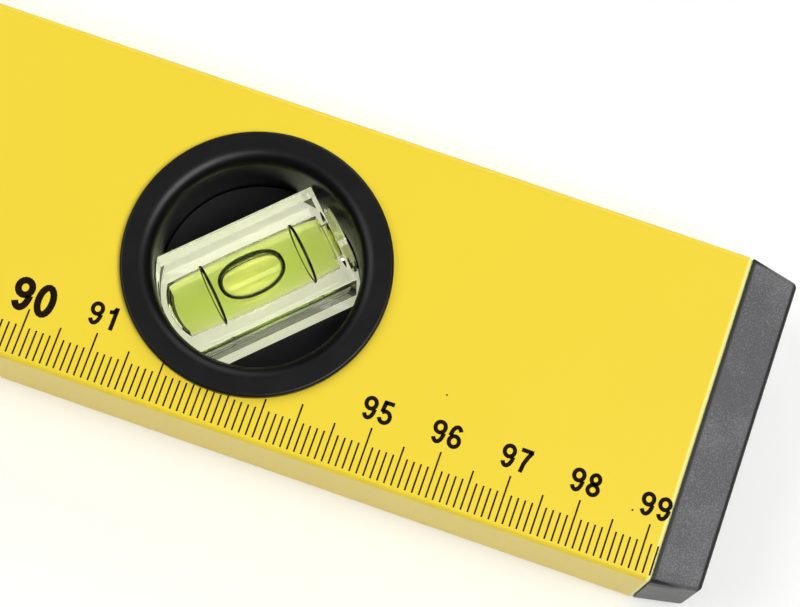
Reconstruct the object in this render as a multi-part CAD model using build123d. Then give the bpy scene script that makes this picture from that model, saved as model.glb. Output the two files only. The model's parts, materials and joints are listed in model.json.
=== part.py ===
from build123d import *
import math
import os
from typing import NamedTuple

# A 1 m box-section spirit level lying on its back, in millimetres.
# X runs along the level towards the end with the 45 degree vial, Y runs up the face from the
# ruled edge, and Z runs up, out of the front face. The origin is under the middle of the level,
# on the surface that it lies on.

# Extruded aluminium box section
LEVEL_LENGTH = 1000.0
BODY_HEIGHT = 48.0
BODY_DEPTH = 20.0
FACE_WALL = 1.2
EDGE_WALL = 2.0
OUTER_CORNER_R = 0.8
INNER_CORNER_R = 0.5
CUT_END_BEVEL = 0.4

# End caps
CAP_LENGTH = 7.0
CAP_DRAFT = 1.25
CAP_EDGE_R = 0.9
CAP_PLUG_DEPTH = 16.0
CAP_PLUG_WALL = 1.6
CAP_PLUG_CLEARANCE = 0.4
CAP_PLUG_LEAD_IN = 0.6
CAP_RIB_WIDTH = 1.2
CAP_RIB_PITCH = 12.0
CAP_RIB_CLEARANCE = 0.05

# Round windows near the two ends
WINDOW_FROM_END = 72.1
BEZEL_D = 38.0
BEZEL_PROUD = 1.1
BEZEL_EDGE_R = 0.4
BEZEL_LIP_R = 2.0
BEZEL_OPENING_D = 29.0
BEZEL_TUBE_WALL = 1.7
BEZEL_HOLE_CLEARANCE = 0.2

# Clear vial block of a round window, a slab of a disc on a wider foot
BLOCK_WIDTH = 15.1
BLOCK_THICKNESS = 12.4
BLOCK_SHIFT = 0.4
BLOCK_FLAT_END = 11.9
BLOCK_EDGE_R = 0.3
BLOCK_FOOT_LEDGE = 1.5
BLOCK_FOOT_THICKNESS = 3.1
BLOCK_FOOT_GRIP = 0.7
BLOCK_CLEARANCE = 0.2
BLOCK_SEAT_THICKNESS = 1.5
BEZEL_FLOOR_RISE = 2.1

# Chamber, bubble, marker rings and plug of a vial
ROUND_BORE_D = 9.1
ROUND_BORE_SHIFT = 0.5
ROUND_BORE_START = -12.2
ROUND_BUBBLE_LENGTH = 10.0
ROUND_RING_SPACING = 14.0
CENTRE_BORE_D = 9.0
CENTRE_BORE_SHIFT = 0.0
CENTRE_BORE_START = -23.5
CENTRE_BUBBLE_LENGTH = 12.0
CENTRE_RING_SPACING = 14.0
BORE_CROWN = 0.3
BORE_DOME = 1.35
LIQUID_FILM = 0.02
BUBBLE_WIDTH = 6.6
BUBBLE_DEPTH = 2.2
BUBBLE_EDGE_R = 0.7
BUBBLE_GAP = 0.3
BUBBLE_SKIN = 0.15
RING_WIDTH = 0.3
RING_THICKNESS = 0.16
RING_LEAN = 2.0
PLUG_SPIGOT = 0.9
PLUG_COLLAR = 0.9
PLUG_COLLAR_RIM = 0.25
PLUG_DISC = 0.45
PLUG_DISC_RIM = 0.8
PLUG_RECESS_D = 5.2
PLUG_RECESS_DEPTH = 1.2
PLUG_CLEARANCE = 0.2

# Centre window, cut into the top edge
CENTRE_CUT_LENGTH = 62.0
CENTRE_CUT_DEPTH = 22.0
CENTRE_CUT_CORNER_R = 3.0
COVER_CLEARANCE = 0.2
COVER_OVERLAP = 3.5
COVER_CORNER_R = 4.0
COVER_TOP_CORNER_R = 1.5
COVER_PROUD_EDGE_R = 0.4
COVER_APERTURE_LENGTH = 46.0
COVER_APERTURE_HEIGHT = 12.0
COVER_APERTURE_CORNER_R = 2.5
COVER_APERTURE_BEVEL = 1.8
COVER_TOP_SLOT_LENGTH = 44.0
CENTRE_BLOCK_LENGTH = 54.0
CENTRE_BLOCK_HEIGHT = 15.0
CENTRE_BLOCK_CORNER_R = 0.3
CENTRE_BLOCK_BELOW_TOP = 3.0

# Where the bubbles lie, along each vial from the middle of its marks
RIGHT_BUBBLE_AT = -0.87
LEFT_BUBBLE_AT = 1.1
CENTRE_BUBBLE_AT = -0.6
RIGHT_VIAL_ANGLE = 45.0
LEFT_VIAL_ANGLE = 90.0

# Worked-out places
PROFILE_LENGTH = LEVEL_LENGTH - 2 * CAP_LENGTH
WINDOW_X = LEVEL_LENGTH / 2 - WINDOW_FROM_END
BACK_FACE_Z = BEZEL_PROUD
MIDDLE_Z = BACK_FACE_Z + BODY_DEPTH / 2
HALF_DEPTH = BODY_DEPTH / 2
OPENING_R = BEZEL_OPENING_D / 2
TUBE_R = OPENING_R + BEZEL_TUBE_WALL
HALF_BLOCK = BLOCK_THICKNESS / 2
FOOT_R = OPENING_R + BLOCK_FOOT_GRIP
BEZEL_JOINT_Z = -HALF_BLOCK + BLOCK_FOOT_THICKNESS
CENTRE_BLOCK_Y = BODY_HEIGHT / 2 - CENTRE_BLOCK_BELOW_TOP - CENTRE_BLOCK_HEIGHT / 2


class Chamber(NamedTuple):
    """The liquid-filled bore of one vial, in the vial's own frame: it runs along X."""

    start: float
    block_end: float
    bore_d: float
    shift: float
    ring_spacing: float
    bubble_length: float
    bubble_at: float

    @property
    def stop(self):
        """Where the liquid ends, at the plug's inner face."""
        return self.block_end - PLUG_SPIGOT

    @property
    def end_r(self):
        """Bore radius at its two ends; the middle is BORE_CROWN larger, so the bubble centres."""
        return self.bore_d / 2 - BORE_CROWN

    def bore_r(self, x):
        """Bore radius at x, on the long arc that passes through both ends and the crown."""
        half = (self.stop - self.start) / 2
        arc_r = (half**2 + BORE_CROWN**2) / (2 * BORE_CROWN)
        along = x - (self.start + self.stop) / 2
        return self.bore_d / 2 - (arc_r - math.sqrt(arc_r**2 - along**2))

    @property
    def travel(self):
        """How far the bubble can move either way from where it lies."""
        half = self.bubble_length / 2
        return (
            self.start + BUBBLE_GAP - (self.bubble_at - half),
            self.stop - BUBBLE_GAP - (self.bubble_at + half),
        )


def round_chamber(bubble_at):
    """The chamber of a round window's vial."""
    return Chamber(
        ROUND_BORE_START,
        BLOCK_FLAT_END,
        ROUND_BORE_D,
        ROUND_BORE_SHIFT,
        ROUND_RING_SPACING,
        ROUND_BUBBLE_LENGTH,
        bubble_at,
    )


def centre_chamber(bubble_at):
    """The chamber of the centre window's vial."""
    return Chamber(
        CENTRE_BORE_START,
        CENTRE_BLOCK_LENGTH / 2,
        CENTRE_BORE_D,
        CENTRE_BORE_SHIFT,
        CENTRE_RING_SPACING,
        CENTRE_BUBBLE_LENGTH,
        bubble_at,
    )


def slab(sketch, low, high):
    """A flat outline given thickness from low to high along Z."""
    return extrude(Plane.XY.offset(low) * sketch, amount=high - low)


def rod(radius, start, stop, shift):
    """A round bar along X."""
    return Pos(start, shift, 0) * Rot(0, 90, 0) * Cylinder(
        radius, stop - start, align=(Align.CENTER, Align.CENTER, Align.MIN)
    )


def leaning_disc(radius, middle, width, shift):
    """A thin disc across the bore, which leans a little as the marker rings do."""
    return Pos(middle, shift, 0) * Rot(0, 90 + RING_LEAN, 0) * Cylinder(radius, width)


def barrel(chamber, film):
    """The barrel-shaped inside of the bore, domed at its closed end, less a film all round."""
    start, stop = chamber.start + film, chamber.stop - film
    middle = (start + stop) / 2
    end_r, crown_r = chamber.end_r - film, chamber.bore_d / 2 - film
    dome_r = (end_r**2 + BORE_DOME**2) / (2 * BORE_DOME)
    half_turn = math.asin(end_r / dome_r) / 2
    apex = start - BORE_DOME
    on_dome = (apex + dome_r * (1 - math.cos(half_turn)), dome_r * math.sin(half_turn))
    outline = [
        ThreePointArc((apex, 0), on_dome, (start, end_r)),
        ThreePointArc((start, end_r), (middle, crown_r), (stop, end_r)),
        Line((stop, end_r), (stop, 0)),
        Line((stop, 0), (apex, 0)),
    ]
    return Pos(0, chamber.shift, 0) * revolve(make_face(outline), Axis.X)


def ring_places(chamber):
    """The two places of the marker rings along the bore."""
    return (-chamber.ring_spacing / 2, chamber.ring_spacing / 2)


def bore_void(chamber):
    """What the block is cut by: the barrel, the plug's socket and the two ring grooves."""
    void = barrel(chamber, 0)
    void += rod(chamber.end_r, chamber.stop, chamber.block_end, chamber.shift)
    for place in ring_places(chamber):
        groove_r = chamber.bore_r(place) + RING_THICKNESS + 2 * LIQUID_FILM
        groove_width = RING_WIDTH + 2 * LIQUID_FILM
        void += leaning_disc(groove_r, place, groove_width, chamber.shift)
    return void


def bubble_form(chamber, skin):
    """A flat-bottomed oval that reaches up through the wall of the bore, larger by skin."""
    oval = Ellipse(chamber.bubble_length / 2 + skin, BUBBLE_WIDTH / 2 + skin)
    floor = chamber.end_r - BUBBLE_DEPTH - skin
    body = slab(oval, floor, chamber.bore_d)
    body = fillet(body.edges().group_by(Axis.Z)[0], BUBBLE_EDGE_R + skin)
    return Pos(chamber.bubble_at, chamber.shift, 0) * body


def vial_bubble(chamber):
    """The bubble, whose top is as round as the bore."""
    reach = chamber.bubble_length
    tube = rod(
        chamber.end_r - BUBBLE_GAP,
        chamber.bubble_at - reach,
        chamber.bubble_at + reach,
        chamber.shift,
    )
    return bubble_form(chamber, 0) & tube


def vial_liquid(chamber):
    """The liquid fills the bore and the plug's recess, but for the hollow round the bubble."""
    start, stop = chamber.stop - LIQUID_FILM, chamber.stop + PLUG_RECESS_DEPTH - LIQUID_FILM
    in_plug = rod(PLUG_RECESS_D / 2 - LIQUID_FILM, start, stop, chamber.shift)
    return barrel(chamber, LIQUID_FILM) + in_plug - bubble_form(chamber, BUBBLE_SKIN)


def vial_rings(chamber):
    """Two thin black rings that lie in the bore's grooves and mark the level position."""
    rings = Part()
    for place in ring_places(chamber):
        inner_r = chamber.bore_r(place) + LIQUID_FILM
        outer = leaning_disc(inner_r + RING_THICKNESS, place, RING_WIDTH, chamber.shift)
        rings += outer - leaning_disc(inner_r, place, 2 * RING_WIDTH, chamber.shift)
    return rings


def vial_plug(chamber):
    """The welded plug: a hollow spigot in the bore, and a disc on a collar outside the block."""
    face = chamber.block_end
    collar_end = face + PLUG_COLLAR
    spigot = rod(chamber.end_r - LIQUID_FILM, chamber.stop, face, chamber.shift)
    collar = rod(chamber.end_r + PLUG_COLLAR_RIM, face, collar_end, chamber.shift)
    disc_r = chamber.end_r + PLUG_DISC_RIM
    disc = rod(disc_r, collar_end, collar_end + PLUG_DISC, chamber.shift)
    recess_end = chamber.stop + PLUG_RECESS_DEPTH
    recess = rod(PLUG_RECESS_D / 2, chamber.stop, recess_end, chamber.shift)
    return spigot + collar + disc - recess


def plug_room(chamber, length):
    """The room that the plug's collar and disc need outside the block, from its face on."""
    start = chamber.block_end
    room_r = chamber.end_r + PLUG_DISC_RIM + PLUG_CLEARANCE
    return rod(room_r, start, start + length, chamber.shift)


def strip_of_disc(radius, low_y, high_y, end_x=None):
    """A disc's outline cut off along two sides and, where end_x is given, at its plug end."""
    length = 2 * radius
    middle_x = 0 if end_x is None else end_x - length / 2
    band = Pos(middle_x, (low_y + high_y) / 2) * Rectangle(length, high_y - low_y)
    return Circle(radius) & band


def block_sides(grow):
    """The block's two long sides, moved out by grow."""
    return (
        BLOCK_SHIFT - BLOCK_WIDTH / 2 - grow,
        BLOCK_SHIFT + BLOCK_WIDTH / 2 + grow,
    )


def round_block(chamber):
    """The clear block: a slab of a disc with rounded long edges, on a foot that the bezels clamp.

    The foot is a wider slab of a larger disc, with a trough cut out to its rim for the plug.
    """
    low, high = block_sides(0)
    foot_low, foot_high = block_sides(BLOCK_FOOT_LEDGE)
    body_r = OPENING_R - BLOCK_CLEARANCE
    body = slab(strip_of_disc(body_r, low, high, BLOCK_FLAT_END), -HALF_BLOCK, HALF_BLOCK)
    front = body.faces().sort_by(Axis.Z)[-1]
    body = fillet(front.edges().filter_by(Axis.X), BLOCK_EDGE_R)
    foot = slab(strip_of_disc(FOOT_R, foot_low, foot_high), -HALF_BLOCK, BEZEL_JOINT_Z)
    return body + (foot - plug_room(chamber, FOOT_R)) - bore_void(chamber)


def bezel_shell(outward):
    """One round bezel turned about Z: a proud flange with a rounded lip and a tube behind it.

    outward is 1 for the front bezel and -1 for the rear one. Their tubes meet level with the
    top of the block's foot, so the front one clamps it.
    """
    flange_z = HALF_DEPTH
    crown_z = HALF_DEPTH + BEZEL_PROUD
    tube_z = outward * BEZEL_JOINT_Z
    tube = slab(Circle(TUBE_R), tube_z, flange_z)
    flange = slab(Circle(BEZEL_D / 2), flange_z, crown_z)
    rim = flange.edges().filter_by(GeomType.CIRCLE).group_by(Axis.Z)[-1]
    shell = tube + fillet(rim, BEZEL_EDGE_R)
    shell -= slab(Circle(OPENING_R), tube_z, crown_z)
    mouth = shell.edges().filter_by(GeomType.CIRCLE).group_by(Axis.Z)[-1].sort_by(SortBy.RADIUS)[0]
    shell = fillet(mouth, min(BEZEL_LIP_R, BEZEL_D / 2 - TUBE_R))
    return shell if outward > 0 else Rot(180, 0, 0) * shell


def rear_bezel():
    """The rear bezel with a raised floor each side of the block, in the vial's own frame.

    The foot lies in a pocket, on the step that the narrower window leaves round its two ends.
    The floors rise past the joint of the two tubes and centre the front one.
    """
    window = strip_of_disc(OPENING_R, *block_sides(BLOCK_FOOT_LEDGE))
    pocket_sides = block_sides(BLOCK_FOOT_LEDGE + BLOCK_CLEARANCE)
    pocket = strip_of_disc(FOOT_R + BLOCK_CLEARANCE, *pocket_sides)
    seat_top = -HALF_BLOCK
    seat_bottom = seat_top - BLOCK_SEAT_THICKNESS
    floor_top = BEZEL_JOINT_Z + BEZEL_FLOOR_RISE
    bezel = bezel_shell(-1) + slab(Circle(OPENING_R), seat_bottom, BEZEL_JOINT_Z)
    bezel += slab(Circle(OPENING_R - BLOCK_CLEARANCE), BEZEL_JOINT_Z, floor_top)
    bezel -= slab(pocket, seat_top, floor_top)
    return bezel - slab(window, seat_bottom, seat_top)


def cover_outline(grow):
    """The centre cut-out's outline, moved out by grow at its sides and its bottom."""
    length = CENTRE_CUT_LENGTH + 2 * grow
    top = BODY_HEIGHT / 2 - COVER_CLEARANCE
    bottom = BODY_HEIGHT / 2 - CENTRE_CUT_DEPTH - grow
    return Pos(0, (top + bottom) / 2) * Rectangle(length, top - bottom)


def rounded_sketch(sketch, bottom_r, top_r):
    """A rectangle with one radius at its two lower corners and another at its upper ones."""
    lower = sketch.vertices().group_by(Axis.Y)[0]
    sketch = fillet(lower, bottom_r)
    return fillet(sketch.vertices().group_by(Axis.Y)[-1], top_r)


def centre_cover(outward):
    """One cover of the centre window, which is open over the vial's face and along its top."""
    plate_z = HALF_DEPTH
    crown_z = HALF_DEPTH + BEZEL_PROUD
    inner_r = CENTRE_CUT_CORNER_R - COVER_CLEARANCE
    body_outline = rounded_sketch(cover_outline(-COVER_CLEARANCE), inner_r, COVER_CLEARANCE)
    plate_outline = rounded_sketch(cover_outline(COVER_OVERLAP), COVER_CORNER_R, COVER_TOP_CORNER_R)
    plate = slab(plate_outline, plate_z, crown_z)
    plate = fillet(plate.faces().sort_by(Axis.Z)[-1].edges(), COVER_PROUD_EDGE_R)
    cover = slab(body_outline, 0, plate_z) + plate

    top = BODY_HEIGHT / 2
    pocket_length = CENTRE_BLOCK_LENGTH + 2 * BLOCK_CLEARANCE
    pocket_height = CENTRE_BLOCK_HEIGHT + 2 * BLOCK_CLEARANCE
    pocket = Pos(0, CENTRE_BLOCK_Y) * Rectangle(pocket_length, pocket_height)
    cover -= slab(pocket, 0, HALF_BLOCK)

    aperture = Pos(0, CENTRE_BLOCK_Y) * RectangleRounded(
        COVER_APERTURE_LENGTH, COVER_APERTURE_HEIGHT, COVER_APERTURE_CORNER_R
    )
    cover -= slab(aperture, 0, crown_z)
    mouth = [
        edge
        for edge in cover.faces().sort_by(Axis.Z)[-1].edges()
        if abs(edge.center().X) < COVER_APERTURE_LENGTH / 2 + BLOCK_CLEARANCE
        and abs(edge.center().Y - CENTRE_BLOCK_Y) < COVER_APERTURE_HEIGHT / 2 + BLOCK_CLEARANCE
    ]
    cover = chamfer(mouth, COVER_APERTURE_BEVEL)

    slot_bottom = CENTRE_BLOCK_Y
    slot = Pos(0, (slot_bottom + top) / 2) * Rectangle(COVER_TOP_SLOT_LENGTH, top - slot_bottom)
    cover -= slab(slot, 0, HALF_BLOCK)
    return cover if outward > 0 else mirror(cover, Plane.XY)


def cover_with_plug_room(cover, chamber):
    """The cover with room cut beside its pocket for the plug."""
    room_length = PLUG_COLLAR + PLUG_DISC + PLUG_CLEARANCE
    return cover - Pos(0, CENTRE_BLOCK_Y, 0) * plug_room(chamber, room_length)


def centre_block(chamber):
    """The clear block of the centre vial."""
    outline = RectangleRounded(CENTRE_BLOCK_LENGTH, CENTRE_BLOCK_HEIGHT, CENTRE_BLOCK_CORNER_R)
    return slab(outline, -HALF_BLOCK, HALF_BLOCK) - bore_void(chamber)


def profile():
    """The box section, with round holes at its ends and a cut-out in its top edge."""
    section = RectangleRounded(BODY_HEIGHT, BODY_DEPTH, OUTER_CORNER_R)
    hollow = RectangleRounded(
        BODY_HEIGHT - 2 * EDGE_WALL, BODY_DEPTH - 2 * FACE_WALL, INNER_CORNER_R
    )
    along = Plane(origin=(-PROFILE_LENGTH / 2, 0, 0), x_dir=(0, 1, 0), z_dir=(1, 0, 0))
    tube = extrude(along * section, amount=PROFILE_LENGTH)
    ends = tube.faces().sort_by(Axis.X)
    tube = chamfer(ends[0].edges() + ends[-1].edges(), CUT_END_BEVEL)
    tube -= extrude(along * hollow, amount=PROFILE_LENGTH)
    hole_r = TUBE_R + BEZEL_HOLE_CLEARANCE
    for side in (-1, 1):
        tube -= Pos(side * WINDOW_X, 0, 0) * Cylinder(hole_r, 2 * BODY_DEPTH)
    cut = Pos(0, BODY_HEIGHT / 2) * Rectangle(CENTRE_CUT_LENGTH, 2 * CENTRE_CUT_DEPTH)
    cut = fillet(cut.vertices().group_by(Axis.Y)[0], CENTRE_CUT_CORNER_R)
    tube -= slab(cut, -BODY_DEPTH, BODY_DEPTH)
    return tube


def end_cap():
    """The moulded cap of the end at +X: a drafted block outside and a ribbed plug inside."""
    seam = PROFILE_LENGTH / 2
    outline = RectangleRounded(BODY_HEIGHT, BODY_DEPTH, OUTER_CORNER_R)
    tip = RectangleRounded(
        BODY_HEIGHT - 2 * CAP_DRAFT, BODY_DEPTH - 2 * CAP_DRAFT, OUTER_CORNER_R
    )
    face = Plane(origin=(seam, 0, 0), x_dir=(0, 1, 0), z_dir=(1, 0, 0))
    cap = loft([face * outline, face.offset(CAP_LENGTH) * tip])
    cap = fillet(cap.faces().sort_by(Axis.X)[-1].edges(), CAP_EDGE_R)

    room_height = BODY_HEIGHT - 2 * EDGE_WALL
    room_depth = BODY_DEPTH - 2 * FACE_WALL
    plug_height = room_height - 2 * CAP_PLUG_CLEARANCE
    plug_depth = room_depth - 2 * CAP_PLUG_CLEARANCE
    inwards = Plane(origin=(seam, 0, 0), x_dir=(0, 1, 0), z_dir=(-1, 0, 0))
    plug_corner_r = INNER_CORNER_R + CAP_PLUG_LEAD_IN
    plug_outline = inwards * RectangleRounded(plug_height, plug_depth, plug_corner_r)
    plug = extrude(plug_outline, amount=CAP_PLUG_DEPTH)
    plug = chamfer(plug.faces().sort_by(Axis.X)[0].edges(), CAP_PLUG_LEAD_IN)
    rib_depth = room_depth - 2 * CAP_RIB_CLEARANCE
    rib_length = CAP_PLUG_DEPTH - 2 * CAP_PLUG_LEAD_IN
    ribs = [
        Pos(seam - rib_length / 2, place, 0) * Box(rib_length, CAP_RIB_WIDTH, rib_depth)
        for place in (-CAP_RIB_PITCH, 0, CAP_RIB_PITCH)
    ]
    core = inwards * Rectangle(plug_height - 2 * CAP_PLUG_WALL, plug_depth - 2 * CAP_PLUG_WALL)
    cap = cap + plug + ribs
    return cap - extrude(core, amount=CAP_PLUG_DEPTH)


def place_round(solid, side, angle):
    """Moves a piece from a round window's own frame to its place in the level."""
    return Pos(side * WINDOW_X, 0, MIDDLE_Z) * Rot(0, 0, angle) * solid


def place_centre(solid):
    """Moves a piece of the centre vial from its own frame to its place in the level."""
    return Pos(0, CENTRE_BLOCK_Y, MIDDLE_Z) * solid


def round_window(name, side, angle, bubble_at):
    """All pieces of one round window, by node name."""
    chamber = round_chamber(bubble_at)
    pieces = {
        "front_bezel": bezel_shell(1),
        "rear_bezel": rear_bezel(),
        "vial_block": round_block(chamber),
        "vial_liquid": vial_liquid(chamber),
        "vial_bubble": vial_bubble(chamber),
        "vial_rings": vial_rings(chamber),
        "vial_plug": vial_plug(chamber),
    }
    return {f"{name}_{piece}": place_round(solid, side, angle) for piece, solid in pieces.items()}


def centre_window():
    """All pieces of the centre window, by node name."""
    chamber = centre_chamber(CENTRE_BUBBLE_AT)
    covers = {
        "centre_front_cover": cover_with_plug_room(centre_cover(1), chamber),
        "centre_rear_cover": cover_with_plug_room(centre_cover(-1), chamber),
    }
    vial = {
        "centre_vial_block": centre_block(chamber),
        "centre_vial_liquid": vial_liquid(chamber),
        "centre_vial_bubble": vial_bubble(chamber),
        "centre_vial_rings": vial_rings(chamber),
        "centre_vial_plug": vial_plug(chamber),
    }
    placed = {name: Pos(0, 0, MIDDLE_Z) * solid for name, solid in covers.items()}
    placed.update({name: place_centre(solid) for name, solid in vial.items()})
    return placed


def level():
    """Every piece of the level, by node name."""
    up = Pos(0, 0, MIDDLE_Z)
    cap = end_cap()
    pieces = {
        "profile": up * profile(),
        "right_end_cap": up * cap,
        "left_end_cap": up * Rot(0, 180, 0) * cap,
    }
    pieces.update(round_window("right", 1, RIGHT_VIAL_ANGLE, RIGHT_BUBBLE_AT))
    pieces.update(round_window("left", -1, LEFT_VIAL_ANGLE, LEFT_BUBBLE_AT))
    pieces.update(centre_window())
    return pieces


os.makedirs("parts", exist_ok=True)
for node, solid in level().items():
    export_step(solid, f"parts/{node}.step")
for node, chamber in (
    ("right", round_chamber(RIGHT_BUBBLE_AT)),
    ("left", round_chamber(LEFT_BUBBLE_AT)),
    ("centre", centre_chamber(CENTRE_BUBBLE_AT)),
):
    print(node, "bubble travel", [round(value, 3) for value in chamber.travel])
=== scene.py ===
import json
import math

import bmesh
import bpy
import numpy as np
from mathutils import Matrix, Vector


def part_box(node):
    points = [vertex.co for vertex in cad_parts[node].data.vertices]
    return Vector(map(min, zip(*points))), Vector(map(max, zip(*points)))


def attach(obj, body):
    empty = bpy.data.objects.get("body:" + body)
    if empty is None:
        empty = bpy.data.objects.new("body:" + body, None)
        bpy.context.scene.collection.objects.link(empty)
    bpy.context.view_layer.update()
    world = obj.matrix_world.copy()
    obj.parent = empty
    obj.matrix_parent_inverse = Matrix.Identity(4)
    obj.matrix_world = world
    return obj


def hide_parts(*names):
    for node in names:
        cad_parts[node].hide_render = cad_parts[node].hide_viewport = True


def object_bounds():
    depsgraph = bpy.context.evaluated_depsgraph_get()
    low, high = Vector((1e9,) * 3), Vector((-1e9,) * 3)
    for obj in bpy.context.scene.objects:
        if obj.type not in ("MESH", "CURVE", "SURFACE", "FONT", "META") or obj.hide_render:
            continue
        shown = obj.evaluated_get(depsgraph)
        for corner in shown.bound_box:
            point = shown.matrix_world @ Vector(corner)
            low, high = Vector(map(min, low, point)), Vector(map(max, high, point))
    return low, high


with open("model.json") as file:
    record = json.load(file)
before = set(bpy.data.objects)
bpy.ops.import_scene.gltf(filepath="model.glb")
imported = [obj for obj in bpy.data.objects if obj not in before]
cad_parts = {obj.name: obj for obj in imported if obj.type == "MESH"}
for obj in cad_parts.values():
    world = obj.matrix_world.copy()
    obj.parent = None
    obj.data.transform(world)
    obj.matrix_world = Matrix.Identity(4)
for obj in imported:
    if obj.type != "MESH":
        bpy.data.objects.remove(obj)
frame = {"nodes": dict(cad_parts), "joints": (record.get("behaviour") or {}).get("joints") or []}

cad_low, cad_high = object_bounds()
node = frame["nodes"]

# The camera looks down on the right-hand end of the level as it lies on its back, from a little
# below the ruled edge, turned so that the level runs down to the right across the picture.
MM = 0.001
CAMERA_PLACE = Vector((465.32, -69.48, 330.62)) * MM
CAMERA_TARGET = Vector((448.44, 1.28, 21.10)) * MM
CAMERA_ROLL = math.radians(18.93)
SENSOR_WIDTH = 36.0
CAMERA_LENS = 103.34
CAMERA_CLIP = (0.01, 50.0)


def camera_axes(place, target, roll):
    """Columns right, up and back. Right is the level's length across the view, turned by roll."""
    forward = (target - place).normalized()
    across = (Vector((1, 0, 0)) - forward * forward.x).normalized()
    above = across.cross(forward)
    right = across * math.cos(roll) + above * math.sin(roll)
    up = right.cross(forward)
    return Matrix((right, up, -forward)).transposed()


camera = bpy.data.objects.new("camera", bpy.data.cameras.new("camera"))
camera.data.sensor_width = SENSOR_WIDTH
camera.data.lens = CAMERA_LENS
camera.data.clip_start, camera.data.clip_end = CAMERA_CLIP
axes = camera_axes(CAMERA_PLACE, CAMERA_TARGET, CAMERA_ROLL)
camera.matrix_world = Matrix.Translation(CAMERA_PLACE) @ axes.to_4x4()
bpy.context.scene.collection.objects.link(camera)
bpy.context.scene.camera = camera

# A plain pale table, a white sheet whose glow is painted light. Under the level it glows most, a
# painted pool of light that comes up through the vials. The glow is weaker at their right, which
# is painted shade where the bezels' rims would shade the table, and it fades towards the level's
# edges.
# Far off it is bright enough to stay pale in any view.
FLOOR_SPAN = 30.0
FLOOR_WHITE = "#F4F4F2"
FLOOR_ROUGHNESS = 0.6
FLOOR_GLOW = 0.12
FAR_GLOW = 0.75
FAR_FROM = (800.0, 3200.0)
WINDOW_GLOW = (0.70, 0.12)
BEZEL_SHADE_X = (435.0, 456.0)
GLOW_FADE_X = (478.0, 488.0)
GLOW_FADE_Y = (17.0, 21.0)


def linear(code):
    """An sRGB hex colour as linear numbers: the low part is divided, the rest follows a power."""
    parts = np.array([int(code[i : i + 2], 16) for i in (1, 3, 5)]) / 255.0
    curve = np.where(parts <= 0.04045, parts / 12.92, ((parts + 0.055) / 1.055) ** 2.4)
    return (*curve.tolist(), 1.0)


def add(tree, kind, inputs=None, **settings):
    """Adds one node with its settings, and sets or links its inputs by name or number."""
    made = tree.nodes.new(kind)
    for name, value in settings.items():
        setattr(made, name, value)
    for name, value in (inputs or {}).items():
        if isinstance(value, bpy.types.NodeSocket):
            tree.links.new(value, made.inputs[name])
        else:
            made.inputs[name].default_value = value
    return made


def empty_material(name):
    """A material with an empty node tree."""
    made = bpy.data.materials.new(name)
    made.use_nodes = True
    made.node_tree.nodes.clear()
    return made


def grid_mesh(name, points, closed=False):
    """A surface from an array of points by u, v and xyz: quads join each point to the next ones,
    and where it is closed, the last along v to the first."""
    count_u, count_v = points.shape[:2]
    index = np.arange(count_u * count_v).reshape(count_u, count_v)
    if closed:
        index = np.hstack([index, index[:, :1]])
    quads = np.stack([index[:-1, :-1], index[1:, :-1], index[1:, 1:], index[:-1, 1:]], axis=-1)
    mesh = bpy.data.meshes.new(name)
    mesh.from_pydata(points.reshape(-1, 3).tolist(), [], quads.reshape(-1, 4).tolist())
    mesh.update()
    return mesh


def show(name, mesh, material):
    """Puts a mesh into the scene at the origin with one material."""
    piece = bpy.data.objects.new(name, mesh)
    mesh.materials.append(material)
    bpy.context.scene.collection.objects.link(piece)
    return piece


floor_finish = empty_material("white_sheet_painted_glow")
tree = floor_finish.node_tree
position = add(tree, "ShaderNodeTexCoord").outputs["Object"]
where = add(tree, "ShaderNodeSeparateXYZ", {0: position})
away = add(tree, "ShaderNodeVectorMath", {0: position}, operation="LENGTH")
open_glow = add(
    tree,
    "ShaderNodeMapRange",
    {
        "Value": away.outputs["Value"],
        "From Min": FAR_FROM[0] * MM,
        "From Max": FAR_FROM[1] * MM,
        "To Min": FLOOR_GLOW,
        "To Max": FAR_GLOW,
    },
)
ahead = add(tree, "ShaderNodeMath", {0: where.outputs[0]}, operation="ABSOLUTE")
aside = add(tree, "ShaderNodeMath", {0: where.outputs[1]}, operation="ABSOLUTE")
shares = [
    add(
        tree,
        "ShaderNodeMapRange",
        {
            "Value": distance.outputs[0],
            "From Min": fade[0] * MM,
            "From Max": fade[1] * MM,
            "To Min": 1.0,
            "To Max": 0.0,
        },
    )
    for distance, fade in ((ahead, GLOW_FADE_X), (aside, GLOW_FADE_Y))
]
under = add(
    tree,
    "ShaderNodeMath",
    {0: shares[0].outputs[0], 1: shares[1].outputs[0]},
    operation="MULTIPLY",
)
# The glow's fall along the level is painted shade from the bezels' rims.
painted_bezel_shade = add(
    tree,
    "ShaderNodeMapRange",
    {
        "Value": where.outputs[0],
        "From Min": BEZEL_SHADE_X[0] * MM,
        "From Max": BEZEL_SHADE_X[1] * MM,
        "To Min": WINDOW_GLOW[0],
        "To Max": WINDOW_GLOW[1],
    },
)
glow = add(
    tree,
    "ShaderNodeMix",
    {0: under.outputs[0], 2: open_glow.outputs[0], 3: painted_bezel_shade.outputs[0]},
    data_type="FLOAT",
)
sheet = add(
    tree,
    "ShaderNodeBsdfPrincipled",
    {
        "Base Color": linear(FLOOR_WHITE),
        "Roughness": FLOOR_ROUGHNESS,
        "Emission Color": linear(FLOOR_WHITE),
        "Emission Strength": glow.outputs[0],
    },
)
add(tree, "ShaderNodeOutputMaterial", {"Surface": sheet.outputs[0]})
span = FLOOR_SPAN * np.array([-0.5, 0.0, 0.5])
floor_x, floor_y = np.meshgrid(span, span, indexing="ij")
floor_points = np.stack([floor_x, floor_y, np.zeros_like(floor_x)], axis=-1)
floor = show("floor", grid_mesh("floor", floor_points), floor_finish)

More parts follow.
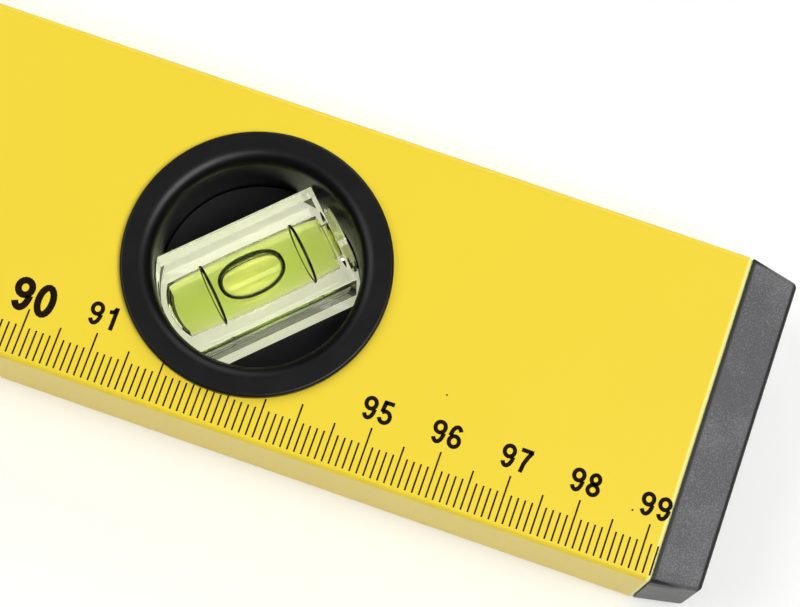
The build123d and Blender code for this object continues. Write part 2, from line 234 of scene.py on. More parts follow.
# Soft studio light: a pale room and three large soft boxes, one at each end of the level and
# one beyond its top edge. None stands over the level, so the black parts stay black.
ROOM_WHITE = "#F2F4F6"
ROOM_LIGHT = 0.05
SOFT_BOXES = (
    ("box_right", (1.25, -0.25, 1.55), 1.0, 24.0),
    ("box_left", (-0.9, -0.1, 1.5), 1.4, 14.0),
    ("box_back", (0.4, 1.6, 1.2), 1.4, 12.0),
)
LIT_PLACE = Vector((0.44, 0.0, 0.02))

world = bpy.data.worlds.new("room")
world.use_nodes = True
world.node_tree.nodes.clear()
room = add(
    world.node_tree,
    "ShaderNodeBackground",
    {"Color": linear(ROOM_WHITE), "Strength": ROOM_LIGHT},
)
add(world.node_tree, "ShaderNodeOutputWorld", {"Surface": room.outputs[0]})
bpy.context.scene.world = world
for name, place, size, power in SOFT_BOXES:
    light = bpy.data.lights.new(name, "AREA")
    light.size = size
    light.energy = power
    lamp = bpy.data.objects.new(name, light)
    lamp.location = place
    lamp.rotation_euler = (LIT_PLACE - Vector(place)).to_track_quat("-Z", "Y").to_euler()
    bpy.context.scene.collection.objects.link(lamp)
bpy.context.scene.view_settings.view_transform = "Standard"

# The body is one length of extruded aluminium box section, powder coated yellow: satin, faintly
# clouded, with a fine orange peel. Its ends are sawn and bevelled, and the bevels are coloured
# pale and bright, a painted highlight for the light that they catch.
COAT_YELLOW = "#F5DB33"
COAT_DEEP = "#EFD02B"
COAT_ROUGHNESS = 0.38
COAT_IOR = 1.5
COAT_CLOUD_PITCH = 60.0
PEEL_PITCH = 0.9
PEEL_HEIGHT = 0.02
PEEL_STRENGTH = 0.12
BEVEL_HIGHLIGHT = "#FFFDA6"
BEVEL_ROUGHNESS = 0.3
BEVEL_HIGHLIGHT_X = (492.25, 492.62)


def object_coordinates(tree, pitch_mm):
    """Object coordinates scaled so that one unit of a pattern is pitch_mm millimetres."""
    place = add(tree, "ShaderNodeTexCoord")
    scale = 1000.0 / pitch_mm
    return add(
        tree,
        "ShaderNodeMapping",
        {"Vector": place.outputs["Object"], "Scale": (scale, scale, scale)},
    ).outputs[0]


coat = empty_material("yellow_powder_coat")
tree = coat.node_tree
peel = add(
    tree,
    "ShaderNodeTexNoise",
    {"Vector": object_coordinates(tree, PEEL_PITCH), "Scale": 1.0, "Detail": 2.0},
)
cloud = add(
    tree,
    "ShaderNodeTexNoise",
    {"Vector": object_coordinates(tree, COAT_CLOUD_PITCH), "Scale": 1.0, "Detail": 3.0},
)
tone = add(
    tree,
    "ShaderNodeMix",
    {0: cloud.outputs["Fac"], 6: linear(COAT_YELLOW), 7: linear(COAT_DEEP)},
    data_type="RGBA",
)
bump = add(
    tree,
    "ShaderNodeBump",
    {
        "Height": peel.outputs["Fac"],
        "Strength": PEEL_STRENGTH,
        "Distance": PEEL_HEIGHT * MM,
    },
)
paint = add(
    tree,
    "ShaderNodeBsdfPrincipled",
    {
        "Base Color": tone.outputs[2],
        "Roughness": COAT_ROUGHNESS,
        "IOR": COAT_IOR,
        "Normal": bump.outputs[0],
    },
)
# The bevels' pale colour is a painted highlight.
bevel_highlight = add(
    tree,
    "ShaderNodeBsdfPrincipled",
    {"Base Color": linear(BEVEL_HIGHLIGHT), "Roughness": BEVEL_ROUGHNESS, "IOR": COAT_IOR},
)
where = add(tree, "ShaderNodeSeparateXYZ", {0: add(tree, "ShaderNodeTexCoord").outputs["Object"]})
reach = add(tree, "ShaderNodeMath", {0: where.outputs[0]}, operation="ABSOLUTE")
beyond = add(
    tree,
    "ShaderNodeMapRange",
    {
        "Value": reach.outputs[0],
        "From Min": BEVEL_HIGHLIGHT_X[0] * MM,
        "From Max": BEVEL_HIGHLIGHT_X[1] * MM,
    },
)
skin = add(
    tree,
    "ShaderNodeMixShader",
    {0: beyond.outputs[0], 1: paint.outputs[0], 2: bevel_highlight.outputs[0]},
)
add(tree, "ShaderNodeOutputMaterial", {"Surface": skin.outputs[0]})


def finish_node(name, material):
    """Gives a node of the frame its material."""
    piece = node[name]
    piece.data.materials.clear()
    piece.data.materials.append(material)


finish_node("profile", coat)

# The end caps are dark grey ABS mouldings, whose ribbed plugs are pushed into the body's ends.
# The mould's fine spark-eroded texture is bumped and clouded by wear, and its lighter flecks are
# painted glints. It stops short of the rims of the faces, which are painted darker: painted shade
# at the seam with the body and a painted dark reflection on the rounded edges.
CAP_GREY = "#4E4E50"
CAP_GLINT_AND_CLOUD_GREY = "#737374"
CAP_RIM_SHADE = "#060607"
CAP_ROUGHNESS = 0.55
RIM_WIDTH = 0.3
SPARK_PITCH = 0.2
SPARK_HEIGHT = 0.04
SPARK_STRENGTH = 0.5
FLECK_RANGE = (0.45, 0.7)
CLOUD_PITCH = 9.0
CLOUD_RANGE = (0.35, 0.65)
CLOUD_SHIFT = (-0.45, 0.25)
CAP_SEAM = 493.0
CAP_FACE_END = 499.6
CAP_EDGE_R = 0.9
CAP_RIM_HEIGHT = 18.0

cap_finish = empty_material("textured_grey_abs")
tree = cap_finish.node_tree
spark = add(
    tree,
    "ShaderNodeTexNoise",
    {"Vector": object_coordinates(tree, SPARK_PITCH), "Scale": 1.0, "Detail": 2.0},
)
# The lighter flecks are painted glints.
painted_glint_fleck = add(
    tree,
    "ShaderNodeMapRange",
    {
        "Value": spark.outputs["Fac"],
        "From Min": FLECK_RANGE[0],
        "From Max": FLECK_RANGE[1],
    },
)
cloud = add(
    tree,
    "ShaderNodeTexNoise",
    {"Vector": object_coordinates(tree, CLOUD_PITCH), "Scale": 1.0, "Detail": 3.0},
)
uneven = add(
    tree,
    "ShaderNodeMapRange",
    {
        "Value": cloud.outputs["Fac"],
        "From Min": CLOUD_RANGE[0],
        "From Max": CLOUD_RANGE[1],
        "To Min": CLOUD_SHIFT[0],
        "To Max": CLOUD_SHIFT[1],
    },
)
glint = add(tree, "ShaderNodeMath", {0: painted_glint_fleck.outputs[0], 1: uneven.outputs[0]}, operation="ADD")
tone = add(
    tree,
    "ShaderNodeMix",
    {0: glint.outputs[0], 6: linear(CAP_GREY), 7: linear(CAP_GLINT_AND_CLOUD_GREY)},
    data_type="RGBA",
)
bump = add(
    tree,
    "ShaderNodeBump",
    {
        "Height": spark.outputs["Fac"],
        "Strength": SPARK_STRENGTH,
        "Distance": SPARK_HEIGHT * MM,
    },
)
where = add(tree, "ShaderNodeSeparateXYZ", {0: add(tree, "ShaderNodeTexCoord").outputs["Object"]})
reach = add(tree, "ShaderNodeMath", {0: where.outputs[0]}, operation="ABSOLUTE")
upright = add(tree, "ShaderNodeMath", {0: where.outputs[1]}, operation="ABSOLUTE")
# The rims' dark colour is painted shade at the seam and a painted dark reflection on the edges.
flat_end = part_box("right_end_cap")[1][1] / MM - CAP_EDGE_R
shaded_edges = (
    (reach, CAP_SEAM + 2 * RIM_WIDTH, CAP_SEAM + RIM_WIDTH),
    (reach, CAP_FACE_END - RIM_WIDTH, CAP_FACE_END),
    (upright, flat_end, flat_end + RIM_WIDTH),
)
shares = [
    add(
        tree,
        "ShaderNodeMapRange",
        {"Value": distance.outputs[0], "From Min": start * MM, "From Max": full * MM},
    )
    for distance, start, full in shaded_edges
]
rim = shares[0]
for share in shares[1:]:
    rim = add(
        tree,
        "ShaderNodeMath",
        {0: rim.outputs[0], 1: share.outputs[0]},
        operation="MAXIMUM",
    )
front = add(
    tree,
    "ShaderNodeMath",
    {0: where.outputs[2], 1: CAP_RIM_HEIGHT * MM},
    operation="GREATER_THAN",
)
painted_cap_rim_shade = add(
    tree,
    "ShaderNodeMath",
    {0: rim.outputs[0], 1: front.outputs[0]},
    operation="MULTIPLY",
)
face_and_rim_shade = add(
    tree,
    "ShaderNodeMix",
    {0: painted_cap_rim_shade.outputs[0], 6: tone.outputs[2], 7: linear(CAP_RIM_SHADE)},
    data_type="RGBA",
)
grey = add(
    tree,
    "ShaderNodeBsdfPrincipled",
    {"Base Color": face_and_rim_shade.outputs[2], "Roughness": CAP_ROUGHNESS, "Normal": bump.outputs[0]},
)
add(tree, "ShaderNodeOutputMaterial", {"Surface": grey.outputs[0]})
for name in ("right_end_cap", "left_end_cap"):
    finish_node(name, cap_finish)

# The bezels and covers are smooth black ABS mouldings with a satin skin, a little uneven in its
# gloss and weak in its reflections. A front one and a rear one meet inside each window and hold
# the vial between them.
ABS_BLACK = "#08080A"
ABS_IOR = 1.38
SKIN_PITCH = 3.0
SKIN_ROUGHNESS = (0.32, 0.42)

black = empty_material("satin_black_abs")
tree = black.node_tree
cloud = add(
    tree,
    "ShaderNodeTexNoise",
    {"Vector": object_coordinates(tree, SKIN_PITCH), "Scale": 1.0, "Detail": 4.0},
)
gloss = add(
    tree,
    "ShaderNodeMapRange",
    {
        "Value": cloud.outputs["Fac"],
        "To Min": SKIN_ROUGHNESS[0],
        "To Max": SKIN_ROUGHNESS[1],
    },
)
satin = add(
    tree,
    "ShaderNodeBsdfPrincipled",
    {"Base Color": linear(ABS_BLACK), "Roughness": gloss.outputs[0], "IOR": ABS_IOR},
)
add(tree, "ShaderNodeOutputMaterial", {"Surface": satin.outputs[0]})
for name in (
    "right_front_bezel",
    "right_rear_bezel",
    "left_front_bezel",
    "left_rear_bezel",
    "centre_front_cover",
    "centre_rear_cover",
):
    finish_node(name, black)

# The scale is screen printed along the front face's lower edge, in a flat dark ink that is a
# little worn: a mark for each millimetre, longer at 5 and 10, and a number for each centimetre,
# the tens in bold. It stops at the sawn ends and the bezels, and two specks of ink lie near it.
SCALE_START = 0.55
SCALE_END = 1000
INK_DARK = "#120903"
INK_WORN = "#241408"
INK_ROUGHNESS = 0.8
INK_IOR = 1.2
WEAR_PITCH = 1.5
INK_THICKNESS = 0.012
INK_SINK = 0.01
MARK_WIDTH = 0.24
MARK_FOOT = 0.85
MARK_HEADS = {1: 5.0, 5: 6.5, 10: 7.5}
NUMBER_FOOT = 8.4
NUMBER_HEIGHT = 3.35
TENS_FOOT = 6.95
TENS_HEIGHT = 4.7
PEN_SHARE = 0.175
TENS_PEN_SHARE = 0.205
DIGIT_WIDTH = 0.58
DIGIT_GAP = 0.12
NUMBER_CLEARANCE = 2.1
STROKE_STEPS = 20
SPECKS = ((458.75, -8.76, 0.22), (487.69, -15.44, 0.26))


def bow(centre, radii, start, stop, steps=STROKE_STEPS):
    """Points along part of an ellipse: its centre, and its radii times the cosine and sine of a
    turn from start to stop in degrees."""
    turn = np.radians(np.linspace(start, stop, steps))
    return np.stack([centre[0] + radii[0] * np.cos(turn), centre[1] + radii[1] * np.sin(turn)], 1)


def path(*points):
    """A run of straight lines through the given points."""
    return np.array(points, float)


def digit_strokes():
    """The pen's middle line for each digit, in a cell DIGIT_WIDTH wide and 1 high, as in a
    plain bold grotesque: every stroke is a run of points, and True marks a closed one."""
    middle = DIGIT_WIDTH / 2
    stem = bow((middle, 0.5), (0.21, 0.42), 180, 38)
    bowl = bow((middle, 0.305), (0.21, 0.225), 0, 342)
    six = [(stem, False), (bowl, True)]
    turned = [(np.array([DIGIT_WIDTH, 1.0]) - run, closed) for run, closed in six]
    head = bow((middle, 0.70), (0.20, 0.22), 172, -30)
    return {
        "0": [(bow((middle, 0.5), (0.21, 0.42), 0, 342), True)],
        "1": [
            (path((0.37, 0.0), (0.37, 0.99)), False),
            (path((0.10, 0.73), (0.22, 0.745), (0.30, 0.80), (0.345, 0.90)), False),
        ],
        "2": [
            (np.vstack([head, path((0.24, 0.32), (0.11, 0.16), (0.09, 0.08))]), False),
            (path((0.02, 0.08), (0.55, 0.08)), False),
        ],
        "3": [
            (bow((0.28, 0.71), (0.19, 0.21), 165, -90), False),
            (bow((0.28, 0.29), (0.215, 0.21), 90, -165), False),
        ],
        "4": [
            (path((0.40, 0.97), (0.07, 0.27)), False),
            (path((0.02, 0.245), (0.57, 0.245)), False),
            (path((0.41, 0.0), (0.41, 1.0)), False),
        ],
        "5": [
            (path((0.10, 0.92), (0.52, 0.92)), False),
            (path((0.16, 0.98), (0.115, 0.50)), False),
            (bow((0.275, 0.32), (0.22, 0.24), 140, -165), False),
        ],
        "6": six,
        "7": [
            (path((0.04, 0.92), (0.555, 0.92)), False),
            (path((0.51, 0.93), (0.38, 0.68), (0.28, 0.38), (0.235, 0.0)), False),
        ],
        "8": [
            (bow((middle, 0.73), (0.175, 0.19), 0, 342), True),
            (bow((middle, 0.285), (0.21, 0.205), 0, 342), True),
        ],
        "9": turned,
    }


def prism(run, closed, pen, low, high):
    """One stroke as a solid: the middle line moved half a pen to each side, from low to high."""
    ahead = np.roll(run, -1, 0) if closed else np.vstack([run[1:], run[-1:]])
    behind = np.roll(run, 1, 0) if closed else np.vstack([run[:1], run[:-1]])
    along = ahead - behind
    along /= np.linalg.norm(along, axis=1, keepdims=True)
    side = np.stack([-along[:, 1], along[:, 0]], 1) * pen / 2
    left, right = run + side, run - side
    rails = [(left, low), (right, low), (right, high), (left, high)]
    corners = np.stack([np.column_stack([line, np.full(len(line), z)]) for line, z in rails], 1)
    count = len(run)
    first = np.arange(count if closed else count - 1)
    second = (first + 1) % count
    faces = [
        np.stack([first * 4 + a, second * 4 + a, second * 4 + b, first * 4 + b], 1)
        for a, b in ((0, 1), (1, 2), (2, 3), (3, 0))
    ]
    if not closed:
        last = 4 * (count - 1)
        faces.append(np.array([[0, 1, 2, 3], [last + 3, last + 2, last + 1, last]]))
    return corners.reshape(-1, 3), np.vstack(faces)


def gather(shapes):
    """Several lists of points and faces as one."""
    points, faces, count = [], [], 0
    for some_points, some_faces in shapes:
        points.append(some_points)
        faces.append(some_faces + count)
        count += len(some_points)
    return np.vstack(points), np.vstack(faces)


def solid_mesh(name, points, faces):
    """A mesh from points in millimetres, with its faces turned outwards."""
    mesh = bpy.data.meshes.new(name)
    mesh.from_pydata((points * MM).tolist(), [], faces.tolist())
    shape = bmesh.new()
    shape.from_mesh(mesh)
    bmesh.ops.recalc_face_normals(shape, faces=shape.faces)
    shape.to_mesh(mesh)
    shape.free()
    return mesh


body_low, body_high = (np.array(corner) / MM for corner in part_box("profile"))
edge_y, face_z = body_low[1], body_high[2]
level_left = cad_low[0] / MM
ink_low, ink_high = face_z - INK_SINK, face_z + INK_THICKNESS
bezels = []
for name in ("right_front_bezel", "left_front_bezel"):
    low, high = (np.array(corner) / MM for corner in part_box(name))
    bezels.append(((low + high)[:2] / 2, (high - low)[0] / 2))

reading = np.arange(math.ceil(body_low[0] - level_left - SCALE_START), SCALE_END)
place_x = level_left + SCALE_START + reading
kept = place_x < body_high[0] - MARK_WIDTH
reading, place_x = reading[kept], place_x[kept]
lengths = [MARK_HEADS[10], MARK_HEADS[5]]
head = edge_y + np.select([reading % 10 == 0, reading % 5 == 0], lengths, MARK_HEADS[1])
for centre, radius in bezels:
    across = place_x - centre[0]
    rim = centre[1] - np.sqrt(np.clip(radius**2 - across**2, 0, None))
    head = np.where(np.abs(across) < radius, np.minimum(head, rim), head)
marks = [
    prism(path((x, edge_y + MARK_FOOT), (x, y)), False, MARK_WIDTH, ink_low, ink_high)
    for x, y in zip(place_x, head)
]

strokes = digit_strokes()
numbers = []
for centimetre in range(1, SCALE_END // 10):
    tens = centimetre % 10 == 0
    height = TENS_HEIGHT if tens else NUMBER_HEIGHT
    foot = edge_y + (TENS_FOOT if tens else NUMBER_FOOT)
    pen = height * (TENS_PEN_SHARE if tens else PEN_SHARE)
    text = str(centimetre)
    width = height * (DIGIT_WIDTH * len(text) + DIGIT_GAP * (len(text) - 1))
    middle_x = level_left + SCALE_START + 10 * centimetre
    middle_y = foot + height / 2
    hidden = False
    for centre, radius in bezels:
        half_chord = math.sqrt(max(radius**2 - (middle_y - centre[1]) ** 2, 0))
        hidden = hidden or abs(middle_x - centre[0]) < half_chord + NUMBER_CLEARANCE
    if hidden:
        continue
    for index, digit in enumerate(text):
        left = middle_x - width / 2 + index * height * (DIGIT_WIDTH + DIGIT_GAP)
        for run, closed in strokes[digit]:
            placed = run * height + np.array([left, foot])
            numbers.append(prism(placed, closed, pen, ink_low, ink_high))

specks = [
    prism(path((x - size / 2, y), (x + size / 2, y)), False, size, ink_low, ink_high)
    for x, y, size in SPECKS
]

ink = empty_material("screen_printed_ink")
tree = ink.node_tree
wear = add(
    tree,
    "ShaderNodeTexNoise",
    {"Vector": object_coordinates(tree, WEAR_PITCH), "Scale": 1.0, "Detail": 4.0},
)
tone = add(
    tree,
    "ShaderNodeMix",
    {0: wear.outputs["Fac"], 6: linear(INK_DARK), 7: linear(INK_WORN)},
    data_type="RGBA",
)
dark = add(
    tree,
    "ShaderNodeBsdfPrincipled",
    {"Base Color": tone.outputs[2], "Roughness": INK_ROUGHNESS, "IOR": INK_IOR},
)
add(tree, "ShaderNodeOutputMaterial", {"Surface": dark.outputs[0]})
print_mesh = solid_mesh("scale_print", *gather(marks + numbers + specks))
scale_print = show("scale_print", print_mesh, ink)
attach(scale_print, "level")

# The vials are clear acrylic blocks, bored out, filled with a dyed spirit and closed by a welded
# plug. The bore is wet, so the spirit and the acrylic share one surface: the liquid's own has
# the refraction between the two, and the wall of the bore in the block lets light straight by.
ACRYLIC_CLEAR = "#F4F6DC"
PLUG_CLEAR = "#C6CA9C"
ACRYLIC_IOR = 1.49
SIDE_TINT = "#CFD3BF"
SIDE_MARGIN = 0.03
SIDE_HAZE = 0.3
FOOT_TOP = -3.05
SPIRIT_IOR = 1.43
SPIRIT_TINT = "#FAFBD6"
SPIRIT_DYE = (0.72, 0.84, 0.05)
DYE_DENSITY = 155.0
AIR_SHEEN = "#FFE9A0"
SHEEN_MARGIN = 0.1
SHEEN_PITCH = 2.4
SHEEN_PATCHES = (0.35, 0.7)
SHEEN_GLOW = (0.14, 0.42)
BORE_MARGIN = 0.6
PLUG_OUTSIDE = 1.35
COLLAR_RIM = 0.28
WELD_MARGIN = 0.02
BARREL_CROWN = 0.3
END_DOME = 1.35
RECESS_R = 2.58
BARREL_STEPS = 40
DOME_STEPS = 16
BORE_ROUND = 96
MERGE_REACH = 0.0001
SHARP_EDGE = math.radians(25)
BUBBLE_ROUND = 120
SPREAD_STEPS = 9
BEND_STEPS = 13
BUBBLE_SQUARENESS = 2.25
BUBBLE_RIM = np.array([1.1, 0.6])
BUBBLE_WAIST = 0.5
BUBBLE_DEPTH = 2.2
BUBBLE_FLOOR = np.array([0.89, 0.63])
WALL_FILM = 0.06
RING_BLACK = "#0C100A"
RING_ROUGHNESS = 0.5
RING_PLACE = 7.0
RING_WIDTHS = (0.12, 0.4)
RING_THICKNESS = 0.16
RING_LEAN = math.radians(2.0)


class Vial:
    """One vial's own frame: along its bore, across it and up, from the middle of its marks."""

    def __init__(self, side):
        """Reads the axis from the bubble's joint and the sizes from the vial's nodes."""
        self.side = side
        axis = next(j["axis"] for j in frame["joints"] if j["name"] == f"{side}_bubble_slide")
        self.along = np.array(axis) / np.linalg.norm(axis)
        self.up = np.array([0.0, 0.0, 1.0])
        self.across = np.cross(self.up, self.along)
        self.axes = np.stack([self.along, self.across, self.up])
        self.origin = np.zeros(3)
        low, high = self.extent("vial_rings")
        self.origin = (low + high) / 2 @ self.axes
        self.apex, self.recess_end = (end[0] for end in self.extent("vial_liquid"))
        self.stop, self.plug_end = (end[0] for end in self.extent("vial_plug"))
        self.radius = self.extent("vial_liquid")[1][1]
        self.bubble_low, self.bubble_high = self.extent("vial_bubble")
        self.bubble_wall = self.radius - BARREL_CROWN - WALL_FILM
        self.bubble_floor = self.bubble_wall - BUBBLE_DEPTH
        self.block_end = self.plug_end - PLUG_OUTSIDE
        self.ring_radius = self.extent("vial_rings")[1][1]
        body = self.points("vial_block")
        body = body[body[:, 2] > 0]
        self.side_low, self.side_high = body[:, 1].min(), body[:, 1].max()

    def points(self, piece):
        """A node's points along the vial's own axes, in millimetres."""
        mesh = node[f"{self.side}_{piece}"].data
        points = np.empty(len(mesh.vertices) * 3, np.float32)
        mesh.vertices.foreach_get("co", points)
        return (points.reshape(-1, 3) / MM - self.origin) @ self.axes.T

    def extent(self, piece):
        """The lowest and highest of a node's points along each of the vial's axes."""
        local = self.points(piece)
        return local.min(0), local.max(0)

    def place(self, points):
        """Points of the vial's own frame in the level's frame."""
        return self.origin + points @ self.axes


def turned_mesh(name, vial, stations, radii):
    """A solid of revolution about the bore: a ring of points at each station, closed to a point
    at both ends, where the radius is nothing."""
    turn = np.linspace(0, 2 * math.pi, BORE_ROUND, endpoint=False)
    ring = np.stack([np.zeros_like(turn), np.cos(turn), np.sin(turn)], -1)
    local = ring[None] * radii[:, None, None]
    local[:, :, 0] = stations[:, None]
    return merged(grid_mesh(name, vial.place(local) * MM, closed=True))


def merged(mesh):
    """The mesh with its doubled points joined and its faces turned outwards, smooth but for
    its sharp edges."""
    shape = bmesh.new()
    shape.from_mesh(mesh)
    bmesh.ops.remove_doubles(shape, verts=shape.verts, dist=MERGE_REACH * MM)
    bmesh.ops.recalc_face_normals(shape, faces=shape.faces)
    shape.to_mesh(mesh)
    shape.free()
    mesh.shade_smooth()
    mesh.set_sharp_from_angle(angle=SHARP_EDGE)
    return mesh


def bore_mask(tree, vial):
    """1 on the wetted wall of the bore and on the weld of the plug, and 0 elsewhere.

    Both are known by their distance from the bore's axis and their place along it.
    """
    position = add(tree, "ShaderNodeTexCoord").outputs["Object"]
    centre, axis = tuple(vial.origin * MM), tuple(vial.along)
    shift = add(tree, "ShaderNodeVectorMath", {0: position, 1: centre}, operation="SUBTRACT")
    offset = shift.outputs[0]
    aside = add(tree, "ShaderNodeVectorMath", {0: offset, 1: axis}, operation="CROSS_PRODUCT")
    reach = add(tree, "ShaderNodeVectorMath", {0: aside.outputs[0]}, operation="LENGTH")
    along = add(tree, "ShaderNodeVectorMath", {0: offset, 1: axis}, operation="DOT_PRODUCT")
    distance, station = reach.outputs["Value"], along.outputs["Value"]
    collar_r = vial.radius - BARREL_CROWN + COLLAR_RIM
    zones = (
        (vial.apex - BORE_MARGIN, vial.stop, vial.radius + BORE_MARGIN),
        (vial.stop - WELD_MARGIN, vial.block_end + WELD_MARGIN, collar_r),
    )
    masks = []
    for first, last, radius in zones:
        near = add(tree, "ShaderNodeMath", {0: distance, 1: radius * MM}, operation="LESS_THAN")
        past = add(tree, "ShaderNodeMath", {0: station, 1: first * MM}, operation="GREATER_THAN")
        short = add(tree, "ShaderNodeMath", {0: station, 1: last * MM}, operation="LESS_THAN")
        between = add(
            tree,
            "ShaderNodeMath",
            {0: past.outputs[0], 1: short.outputs[0]},
            operation="MULTIPLY",
        )
        inside = add(
            tree,
            "ShaderNodeMath",
            {0: near.outputs[0], 1: between.outputs[0]},
            operation="MULTIPLY",
        )
        masks.append(inside.outputs[0])
    return add(tree, "ShaderNodeMath", {0: masks[0], 1: masks[1]}, operation="MAXIMUM").outputs[0]


def acrylic_material(name, vial, colour):
    """Clear acrylic with duller long sides, whose wetted bore has no surface of its own.

    The long sides are what lies half the block's width from its middle, above the foot.
    """
    made = empty_material(f"{name}_{vial.side}")
    tree = made.node_tree
    position = add(tree, "ShaderNodeTexCoord").outputs["Object"]
    middle = vial.origin + vial.across * (vial.side_low + vial.side_high) / 2
    half = (vial.side_high - vial.side_low) / 2 - SIDE_MARGIN
    centre, across = tuple(middle * MM), tuple(vial.across)
    shift = add(tree, "ShaderNodeVectorMath", {0: position, 1: centre}, operation="SUBTRACT")
    offset = shift.outputs[0]
    aside = add(tree, "ShaderNodeVectorMath", {0: offset, 1: across}, operation="DOT_PRODUCT")
    reach = add(tree, "ShaderNodeMath", {0: aside.outputs["Value"]}, operation="ABSOLUTE")
    beyond = add(
        tree,
        "ShaderNodeMath",
        {0: reach.outputs[0], 1: half * MM},
        operation="GREATER_THAN",
    )
    height = add(tree, "ShaderNodeSeparateXYZ", {0: offset}).outputs[2]
    above = add(tree, "ShaderNodeMath", {0: height, 1: FOOT_TOP * MM}, operation="GREATER_THAN")
    side = add(
        tree,
        "ShaderNodeMath",
        {0: beyond.outputs[0], 1: above.outputs[0]},
        operation="MULTIPLY",
    )
    clearness = add(
        tree,
        "ShaderNodeMapRange",
        {"Value": side.outputs[0], "To Min": 1.0, "To Max": 1.0 - SIDE_HAZE},
    )
    tint = add(
        tree,
        "ShaderNodeMix",
        {0: side.outputs[0], 6: linear(colour), 7: linear(SIDE_TINT)},
        data_type="RGBA",
    )
    clear = add(
        tree,
        "ShaderNodeBsdfPrincipled",
        {
            "Base Color": tint.outputs[2],
            "Roughness": 0.0,
            "IOR": ACRYLIC_IOR,
            "Transmission Weight": clearness.outputs[0],
        },
    )
    gone = add(tree, "ShaderNodeBsdfTransparent")
    mask = bore_mask(tree, vial)
    mix = add(tree, "ShaderNodeMixShader", {0: mask, 1: clear.outputs[0], 2: gone.outputs[0]})
    add(tree, "ShaderNodeOutputMaterial", {"Surface": mix.outputs[0]})
    return made


def spirit_material():
    """Clear spirit with a yellow-green dye, paler where it is less deep."""
    made = empty_material("dyed_spirit")
    tree = made.node_tree
    body = add(
        tree,
        "ShaderNodeBsdfPrincipled",
        {
            "Base Color": linear(SPIRIT_TINT),
            "Roughness": 0.0,
            "IOR": SPIRIT_IOR / ACRYLIC_IOR,
            "Transmission Weight": 1.0,
        },
    )
    dye = add(
        tree,
        "ShaderNodeVolumeAbsorption",
        {"Color": (*SPIRIT_DYE, 1.0), "Density": DYE_DENSITY},
    )
    add(tree, "ShaderNodeOutputMaterial", {"Surface": body.outputs[0], "Volume": dye.outputs[0]})
    return made


def air_material(vial):
    """Air in the spirit. Its flat underside mirrors the soft boxes in uneven patches, which a weak
    glow of the surface near the bubble's floor stands for."""
    made = empty_material("air_bubble")
    tree = made.node_tree
    sheen_top = vial.origin[2] + vial.bubble_floor + SHEEN_MARGIN
    position = add(tree, "ShaderNodeTexCoord").outputs["Object"]
    where = add(tree, "ShaderNodeSeparateXYZ", {0: position})
    low = add(
        tree,
        "ShaderNodeMath",
        {0: where.outputs[2], 1: sheen_top * MM},
        operation="LESS_THAN",
    )
    ripple = add(
        tree,
        "ShaderNodeTexNoise",
        {"Vector": object_coordinates(tree, SHEEN_PITCH), "Scale": 1.0, "Detail": 1.0},
    )
    patches = add(
        tree,
        "ShaderNodeMapRange",
        {
            "Value": ripple.outputs["Fac"],
            "From Min": SHEEN_PATCHES[0],
            "From Max": SHEEN_PATCHES[1],
            "To Min": SHEEN_GLOW[0],
            "To Max": SHEEN_GLOW[1],
        },
    )
    sheen = add(
        tree,
        "ShaderNodeMath",
        {0: low.outputs[0], 1: patches.outputs[0]},
        operation="MULTIPLY",
    )
    body = add(
        tree,
        "ShaderNodeBsdfPrincipled",
        {
            "Base Color": (1.0, 1.0, 1.0, 1.0),
            "Roughness": 0.0,
            "IOR": 1.0 / SPIRIT_IOR,
            "Transmission Weight": 1.0,
            "Emission Color": linear(AIR_SHEEN),
            "Emission Strength": sheen.outputs[0],
        },
    )
    add(tree, "ShaderNodeOutputMaterial", {"Surface": body.outputs[0]})
    return made


def liquid_mesh(vial):
    """The liquid: part of a sphere in the closed end, a barrel whose radius falls with the square
    of the distance from its middle, and a short stub in the recess of the plug."""
    end_r = vial.radius - BARREL_CROWN
    dome_r = (end_r**2 + END_DOME**2) / (2 * END_DOME)
    turn = np.linspace(0, math.asin(end_r / dome_r), DOME_STEPS)
    down = np.linspace(-1, 1, BARREL_STEPS)[1:]
    start, stop = vial.apex + END_DOME, vial.stop - WELD_MARGIN
    barrel = (start + stop) / 2 + (stop - start) / 2 * down
    dome = vial.apex + dome_r * (1 - np.cos(turn))
    stations = np.concatenate([dome, barrel, [stop, vial.recess_end, vial.recess_end]])
    barrel_r = vial.radius - BARREL_CROWN * down**2
    radii = np.concatenate([dome_r * np.sin(turn), barrel_r, [RECESS_R, RECESS_R, 0]])
    return turned_mesh(f"{vial.side}_liquid", vial, stations, radii)


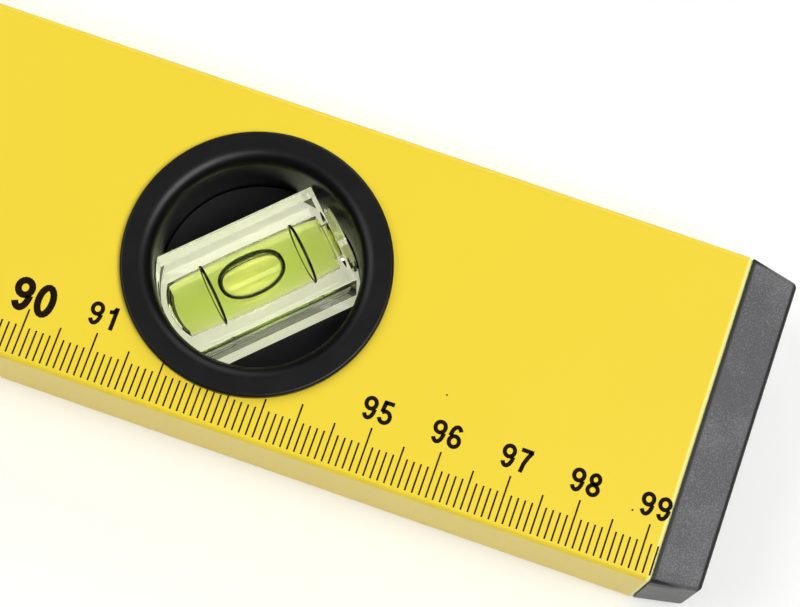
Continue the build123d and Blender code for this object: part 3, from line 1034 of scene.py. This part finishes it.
def bubble_mesh(vial):
    """The bubble: an oval seen from above, pressed against the round wall of the bore.

    The oval is where the two half sizes, each over its own reach and raised to
    BUBBLE_SQUARENESS, add up to one. The top is as round as the wall, and a film away from it.
    From there a quarter of an ellipse turns down to the waist, part of the way to the floor, and
    another draws in below it to the flat floor.
    """
    turn = np.linspace(0, 2 * math.pi, BUBBLE_ROUND, endpoint=False)
    oval = np.stack([np.cos(turn), np.sin(turn)], -1)
    oval = np.sign(oval) * np.abs(oval) ** (2 / BUBBLE_SQUARENESS)
    half = ((vial.bubble_high - vial.bubble_low) / 2)[:2]
    middle = ((vial.bubble_high + vial.bubble_low) / 2)[:2]
    top_half, floor_half = half - BUBBLE_RIM, half * BUBBLE_FLOOR

    spread = np.linspace(0, 1, SPREAD_STEPS)[:, None]
    bend = np.linspace(0, math.pi / 2, BEND_STEPS)[1:, None]
    top = spread * top_half
    rim = top_half + BUBBLE_RIM * np.sin(bend)
    side = floor_half + (half - floor_half) * np.cos(bend)
    bottom = spread[-2::-1] * floor_half
    plan = np.concatenate([top, rim, side, bottom])[:, None] * oval[None]

    wall_height = np.sqrt(vial.bubble_wall**2 - plan[: len(top) + len(rim), :, 1] ** 2)
    waist = BUBBLE_WAIST * (wall_height[-1] - vial.bubble_floor)
    turned_down = np.concatenate([0 * spread, 1 - np.cos(bend)])
    upper = wall_height - waist * turned_down
    drawn_in = np.concatenate([np.sin(bend), np.ones_like(bottom[:, :1])])
    lower = upper[-1] + (vial.bubble_floor - upper[-1]) * drawn_in
    local = np.dstack([plan + middle, np.concatenate([upper, lower])])
    return merged(grid_mesh(f"{vial.side}_bubble_skin", vial.place(local) * MM, closed=True))


def ring_band(vial, place):
    """One marker ring: a band round the bore that leans with its top away from the closed end.

    Its width goes from the least below to the greatest above with the sine of the turn.
    """
    turn = np.linspace(0, 2 * math.pi, BORE_ROUND, endpoint=False)[:, None]
    half = np.interp(np.sin(turn), [-1, 1], np.array(RING_WIDTHS) / 2)
    inner_r, outer_r = vial.ring_radius - RING_THICKNESS, vial.ring_radius
    radius = np.array([[inner_r, inner_r, outer_r, outer_r]])
    along = half * np.array([[-1, 1, 1, -1]])
    height = radius * np.sin(turn)
    lean_along = place + along * math.cos(RING_LEAN) + height * math.sin(RING_LEAN)
    lean_height = height * math.cos(RING_LEAN) - along * math.sin(RING_LEAN)
    local = np.stack([lean_along, radius * np.cos(turn), lean_height], -1)
    index = np.arange(BORE_ROUND * 4).reshape(BORE_ROUND, 4)
    after, beside = np.roll(index, -1, 0), np.roll(index, -1, 1)
    faces = np.stack([index, after, np.roll(after, -1, 1), beside], -1)
    return vial.place(local.reshape(-1, 3)), faces.reshape(-1, 4)


spirit = spirit_material()

# The marker rings are thin black plastic, dull, so that no light catches them.
marker = empty_material("black_marker_ring")
tree = marker.node_tree
dull = add(
    tree,
    "ShaderNodeBsdfPrincipled",
    {"Base Color": linear(RING_BLACK), "Roughness": RING_ROUGHNESS},
)
add(tree, "ShaderNodeOutputMaterial", {"Surface": dull.outputs[0]})
for side in ("right", "left", "centre"):
    vial = Vial(side)
    block_finish = acrylic_material("clear_acrylic", vial, ACRYLIC_CLEAR)
    plug_finish = acrylic_material("tinted_acrylic", vial, PLUG_CLEAR)
    finish_node(f"{side}_vial_block", block_finish)
    finish_node(f"{side}_vial_plug", plug_finish)
    bands = [ring_band(vial, place) for place in (-RING_PLACE, RING_PLACE)]
    rings = show(f"{side}_rings", solid_mesh(f"{side}_rings", *gather(bands)), marker)
    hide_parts(f"{side}_vial_rings")
    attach(rings, "level")
    liquid = show(f"{side}_liquid", liquid_mesh(vial), spirit)
    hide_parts(f"{side}_vial_liquid")
    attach(liquid, "level")
    bubble = show(f"{side}_bubble_skin", bubble_mesh(vial), air_material(vial))
    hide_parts(f"{side}_vial_bubble")
    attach(bubble, f"{side}_bubble")
